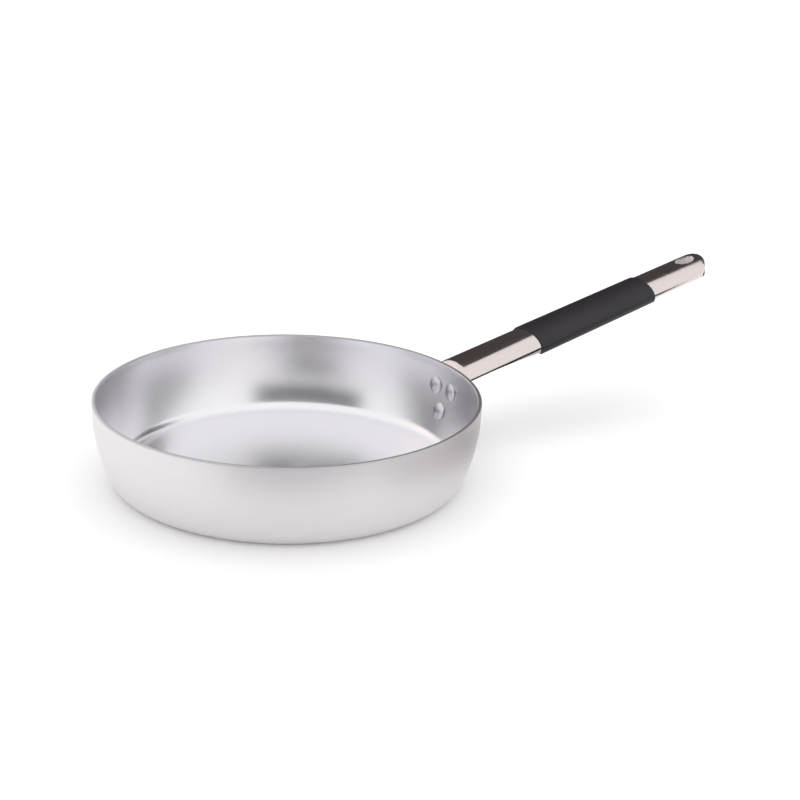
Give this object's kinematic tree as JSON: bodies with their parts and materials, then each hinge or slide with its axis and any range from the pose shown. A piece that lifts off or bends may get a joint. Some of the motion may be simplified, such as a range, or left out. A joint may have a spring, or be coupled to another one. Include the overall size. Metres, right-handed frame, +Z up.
{
  "type": "saute pan",
  "caption": "Round pressed aluminium saute pan with a rising oval-backed steel channel handle riveted to its wall, a black rubber grip sleeve and a hanging hole.",
  "frame": {"origin": "centre of the flat base, on the surface that the pan stands on", "axes": "+Z up along the bowl's axis, +X along the handle from the bowl to the hanging hole"},
  "size_m": [0.5312, 0.28, 0.1219],
  "materials": {
    "pan_aluminium": "satin, fine turned lines",
    "handle_steel": "polished",
    "grip_rubber": "matt",
    "rivet_aluminium": "bright"
  },
  "bodies": {
    "root": {"pan_body": "pan_aluminium", "handle_channel": "handle_steel", "grip_sleeve": "grip_rubber", "rivet_upper_left": "rivet_aluminium", "rivet_upper_right": "rivet_aluminium", "rivet_lower": "rivet_aluminium"}
  },
  "joints": []
}
